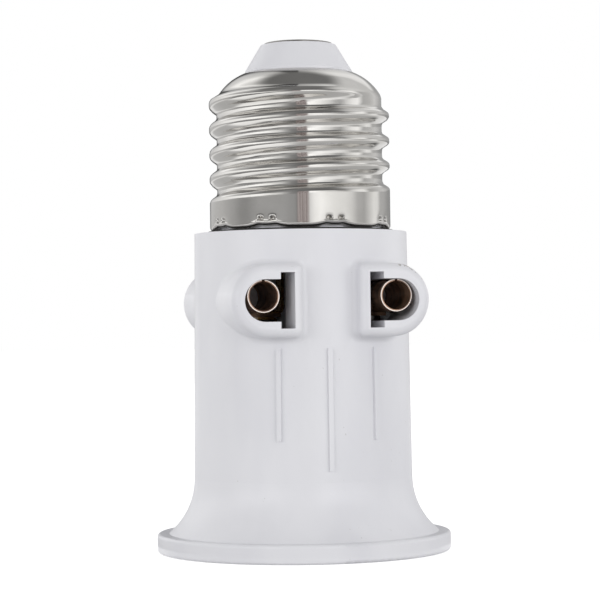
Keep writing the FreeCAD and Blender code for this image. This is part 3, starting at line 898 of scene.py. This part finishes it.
sky = Sky()
sky.shader.inputs["Color"].default_value = grey(1)
sky.feed("Strength", seen_directly(sky) * (1 - SKY_LIGHT) + SKY_LIGHT)
floor_finish = Finish(
    "white_floor", Base_Color=grey(FLOOR_WHITE), Roughness=1.0, Specular_IOR_Level=0.0,
    Emission_Color=grey(1))
floor_finish.feed("Emission Strength", seen_directly(floor_finish) * FLOOR_GLOW)
bpy.ops.object.select_all(action="DESELECT")
bpy.ops.mesh.primitive_plane_add(size=FLOOR_SIZE, location=(0, 0, FLOOR_Z))
floor = bpy.context.object
floor.name = "floor"
bpy.ops.object.transform_apply(location=True)
floor.data.materials.append(floor_finish.material)
print("floor across in metres:", floor.dimensions.x)

# %% [markdown]
# What the metal mirrors.
# A nickel shell in a bare white room looks like paper. In a studio it mirrors the
# room round it: a dim side, a dark strip where the camera stands, a bright window
# of cloth and a dark ceiling. A round room outside the picture stands for that.
# Its walls have three belts, band, sill and upper, each a list of greys by the
# direction. Only mirrors see it: the camera looks through it, and it gives no
# light and no shadow.

# %% The tones of the walls and the table
ROOM_R = 0.6
ROOM_H = 0.6
ROOM_SIDES = 96
ROOM_BRIGHT = 2.0
BAND_TOP = (0.1, 0.112)
SILL_TOP = (0.28, 0.38)
BAND_TONES = [
    (-180, 0.06), (-168, 0.1), (-160, 0.5), (-150, 0.66), (-115, 0.66), (-102, 0.56),
    (-90, 0.48), (-80, 0.38), (-70, 0.35), (-52, 0.45), (-20, 0.45), (-6, 0.4),
    (-2, 0.22), (7, 0.26), (11, 0.9), (18, 1.25), (26, 1.4), (42, 1.2),
    (59, 1.1), (68, 0.95), (77, 0.65), (88, 0.58), (98, 0.88), (107, 1.15),
    (114, 1.1), (122, 0.6), (132, 0.55), (146, 0.4), (165, 0.3), (180, 0.25),
]
SILL_TONES = [
    (-180, 0.06), (-168, 0.1), (-158, 0.7), (-110, 1.2), (-89, 1.29), (-60, 1.5),
    (-43, 1.33), (-35, 1.1), (-27, 0.94), (-19, 0.57), (-11, 0.33), (-3, 0.25),
    (4, 0.5), (7, 1.3), (11, 1.5), (19, 1.47), (27, 1.27), (35, 1.07),
    (43, 0.89), (51, 0.6), (60, 0.5), (69, 0.91), (79, 1.22), (89, 1.32),
    (100, 0.6), (130, 0.8), (150, 0.5), (180, 0.3),
]
UPPER_TONES = [
    (-180, 0.06), (-170, 0.1), (-163, 0.7), (-150, 0.93), (-145, 1.2), (-138, 1.45),
    (-128, 1.1), (-110, 0.7), (-96, 0.6), (-75, 0.36), (-58, 0.26), (-24, 0.4),
    (-8, 0.25), (0, 0.2), (45, 0.2), (61, 0.28), (75, 0.7), (94, 0.95),
    (125, 0.8), (141, 0.75), (147, 1.05), (157, 1.1), (168, 0.8), (180, 0.5),
]
TABLE_PLAIN = [(0.0, 0.4), (0.05, 0.58), (0.2, 0.64), (0.28, 0.95), (0.6, 1.0)]
TABLE_LEFT = [(0.0, 0.26), (0.036, 0.3), (0.05, 1.2), (0.2, 1.4), (0.27, 0.24), (0.6, 0.22)]
TABLE_RIGHT = [(0.0, 0.1), (0.11, 0.12), (0.15, 0.95), (0.6, 1.0)]
TABLE_BEHIND = 0.1
OVERHEAD = 0.22


def across_view(finish):
    """How far right of the adapter and how far towards the camera a point lies."""
    x, y, z = finish.apart()
    right = x * math.cos(VIEW_AZIMUTH) + y * math.sin(VIEW_AZIMUTH)
    near = x * math.sin(VIEW_AZIMUTH) - y * math.cos(VIEW_AZIMUTH)
    return right, near, z


def tones(finish, share, stops):
    """A grey that follows a list of (share, level), levels up to ROOM_BRIGHT."""
    stops = [(where, grey(level / ROOM_BRIGHT)) for where, level in stops]
    return finish.node("ShaderNodeValToRGB", {"stops": stops}, {0: share})


def round_tones(finish, turn, stops):
    """A grey by the direction from the adapter, in degrees from the camera."""
    shares = [((angle + 180) / 360, level) for angle, level in stops]
    return tones(finish, turn * (0.5 / math.pi) + 0.5, shares)


def table_tones(finish, from_axis, stops):
    """A grey by the distance from the adapter, in metres."""
    return tones(finish, from_axis / ROOM_R, [(r / ROOM_R, level) for r, level in stops])


print("tones of the walls:", len(BAND_TONES) + len(SILL_TONES) + len(UPPER_TONES))

# %% [markdown]
# Walls, ceiling and table.
# The belts are laid over each other from the bottom up with soft edges. Then come
# the dark strip, the dark middle of the ceiling, and the table, which looks
# different from the left, the right and behind. The edges are given in radians
# from the camera's direction, positive to its right, or in metres.

# %% A room that only mirrors see
STRIP_EDGES = ((-0.08, -0.04), (0.16, 0.22))
STRIP_DARK = (0.09, 0.072, 0.072, 1)
STRIP_PALE = (0.3, 0.27, 0.265, 1)
LEFT_EDGES = ((-1.9, -1.5), (-0.4, 0.1))
RIGHT_EDGE = (2.1, 2.45)
BEHIND_EDGE = (-3.05, -2.8)
CEILING_EDGE = (ROOM_H * 0.97, ROOM_H * 0.99)
OVERHEAD_EDGE = (0.2, 0.42)
TABLE_EDGE = (1.5 * MM, 3 * MM)


def mirrored_walls(finish, turn, height):
    """The three belts of the walls and the dark strip in front."""
    band = round_tones(finish, turn, BAND_TONES)
    sill = round_tones(finish, turn, SILL_TONES)
    upper = round_tones(finish, turn, UPPER_TONES)
    walls = finish.mix(height.step(*BAND_TOP), band, sill)
    threads = finish.noise(110, 1, (1, 1, 0.12)).step(0.35, 0.65)
    strip = finish.mix(threads, STRIP_DARK, STRIP_PALE)
    in_strip = turn.between(*STRIP_EDGES) * (1 - height.step(*SILL_TOP))
    walls = finish.mix(in_strip, walls, strip)
    return finish.mix(height.step(*SILL_TOP), walls, upper)


def mirrored_table(finish, turn, from_axis):
    """The table that the adapter stands on, by direction and distance."""
    plain, left, right = [
        table_tones(finish, from_axis, stops) for stops in (TABLE_PLAIN, TABLE_LEFT, TABLE_RIGHT)]
    table = finish.mix(turn.between(*LEFT_EDGES), plain, left)
    table = finish.mix(turn.step(*RIGHT_EDGE), table, right)
    return finish.mix(1 - turn.step(*BEHIND_EDGE), table, grey(TABLE_BEHIND / ROOM_BRIGHT))


def mirror_room():
    finish = Finish(
        "mirror_room", Base_Color=(0, 0, 0, 1), Specular_IOR_Level=0.0,
        Emission_Strength=ROOM_BRIGHT)
    right, near, height = across_view(finish)
    turn = finish.node("ShaderNodeMath", {"operation": "ARCTAN2"}, {0: right, 1: near})
    from_axis = from_line(right, near)
    overhead = height.step(*CEILING_EDGE) * (1 - from_axis.step(*OVERHEAD_EDGE))
    walls = mirrored_walls(finish, turn, height)
    above = finish.mix(overhead, walls, grey(OVERHEAD / ROOM_BRIGHT))
    table = mirrored_table(finish, turn, from_axis)
    finish.feed("Emission Color", finish.mix(height.step(*TABLE_EDGE), table, above))
    return finish.material


bpy.ops.object.select_all(action="DESELECT")
bpy.ops.mesh.primitive_cylinder_add(
    vertices=ROOM_SIDES, radius=ROOM_R, depth=ROOM_H, location=(0, 0, ROOM_H / 2 + MM),
    end_fill_type="NGON")
room = bpy.context.object
room.name = "mirror_room"
bpy.ops.object.transform_apply(location=True)
room.data.materials.append(mirror_room())
room.visible_camera = False
room.visible_diffuse = False
room.visible_transmission = False
room.visible_shadow = False
print("room across in metres:", round(room.dimensions.x, 2))

# %% [markdown]
# Soft lamps.
# Four wide, low softboxes stand round the adapter at a plain level, the one at the
# front right a little stronger. Lamps with an area were chosen over points,
# because their shadows are as soft as in the picture.

# %% Four softboxes
SOFTBOX_HEIGHT = 0.17
SOFTBOX_DISTANCE = 0.8
SOFTBOX_SIZE = (0.8, 0.28)
SOFTBOXES = {
    "front_right_softbox": (31, 2.0),
    "front_left_softbox": (-59, 1.7),
    "rear_right_softbox": (121, 1.7),
    "rear_left_softbox": (-149, 1.7),
}
LIT_POINT = Vector((0, 0, 0.035))


def softbox(name, azimuth, power):
    """A wide, low lamp at an azimuth from the front outlet, aimed at the adapter."""
    light = bpy.data.lights.new(name, "AREA")
    light.shape = "RECTANGLE"
    light.size, light.size_y = SOFTBOX_SIZE
    light.energy = power
    lamp = bpy.data.objects.new(name, light)
    bpy.context.scene.collection.objects.link(lamp)
    angle = math.radians(azimuth)
    out = Vector((math.sin(angle), -math.cos(angle), 0)) * SOFTBOX_DISTANCE
    lamp.location = out + Vector((0, 0, SOFTBOX_HEIGHT))
    aim = LIT_POINT - lamp.location
    lamp.rotation_euler = aim.to_track_quat("-Z", "Y").to_euler()
    return lamp


lamps = [softbox(name, azimuth, power) for name, (azimuth, power) in SOFTBOXES.items()]
print("lamps:", len(lamps))

# %% [markdown]
# The picture.
# Standard view shows a colour about as it is written.

# %% Picture settings and the end
bpy.context.scene.view_settings.view_transform = "Standard"
